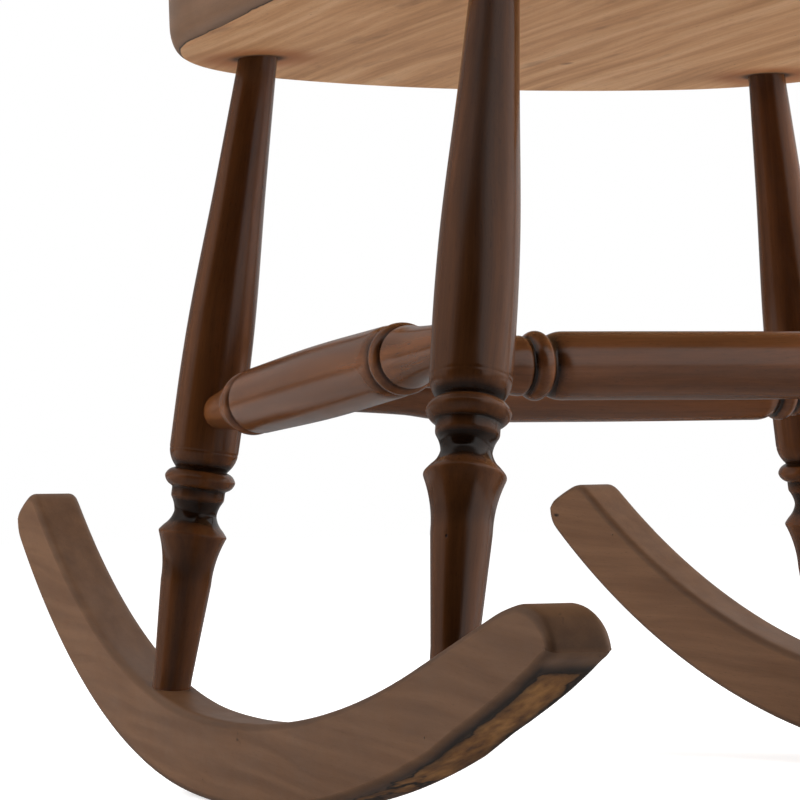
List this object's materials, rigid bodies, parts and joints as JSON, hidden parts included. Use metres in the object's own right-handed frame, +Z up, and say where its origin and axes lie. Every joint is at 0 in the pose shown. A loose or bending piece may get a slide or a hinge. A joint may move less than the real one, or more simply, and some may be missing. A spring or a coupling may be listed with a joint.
{
  "type": "rocking chair",
  "caption": "Hoop-back wooden rocking chair with a saddled board seat, ring-turned legs, crossed stretchers, arms on turned posts and long curved rockers.",
  "frame": {"origin": "on the floor, midway along the rockers and midway between them", "axes": "+Z up, the chair faces -Y, +X is the sitter's left"},
  "size_m": [0.544, 0.8661, 1.028],
  "materials": {
    "turned_wood": "dark walnut stain under semi-gloss lacquer",
    "rocker_rail": "dark walnut stain under semi-gloss lacquer, worn bare at the front tips",
    "seat_board": "dark walnut stain on top and sides, bare orange-tan wood below",
    "bent_hoop": "dark walnut stain under semi-gloss lacquer",
    "arm_board": "dark walnut stain under semi-gloss lacquer",
    "wood_plug": "stained end grain",
    "screw_steel": "zinc plated"
  },
  "bodies": {
    "root": {"seat": "seat_board", "hoop": "bent_hoop", "rocker_right": "rocker_rail", "rocker_left": "rocker_rail", "arm_right": "arm_board", "arm_left": "arm_board", "arm_post_right": "turned_wood", "arm_post_left": "turned_wood", "leg_front_right": "turned_wood", "leg_rear_right": "turned_wood", "leg_front_left": "turned_wood", "leg_rear_left": "turned_wood", "side_stretcher_right": "turned_wood", "side_stretcher_left": "turned_wood", "cross_stretcher_front": "turned_wood", "cross_stretcher_rear": "turned_wood", "back_spindle_1": "turned_wood", "back_spindle_2": "turned_wood", "back_spindle_3": "turned_wood", "back_spindle_4": "turned_wood", "back_spindle_5": "turned_wood", "back_spindle_6": "turned_wood", "back_spindle_7": "turned_wood", "back_spindle_8": "turned_wood", "back_spindle_9": "turned_wood", "arm_spindle_right_1": "turned_wood", "arm_spindle_right_2": "turned_wood", "arm_spindle_left_1": "turned_wood", "arm_spindle_left_2": "turned_wood", "arm_screws": "screw_steel", "arm_screw_plugs": "wood_plug"}
  },
  "joints": []
}
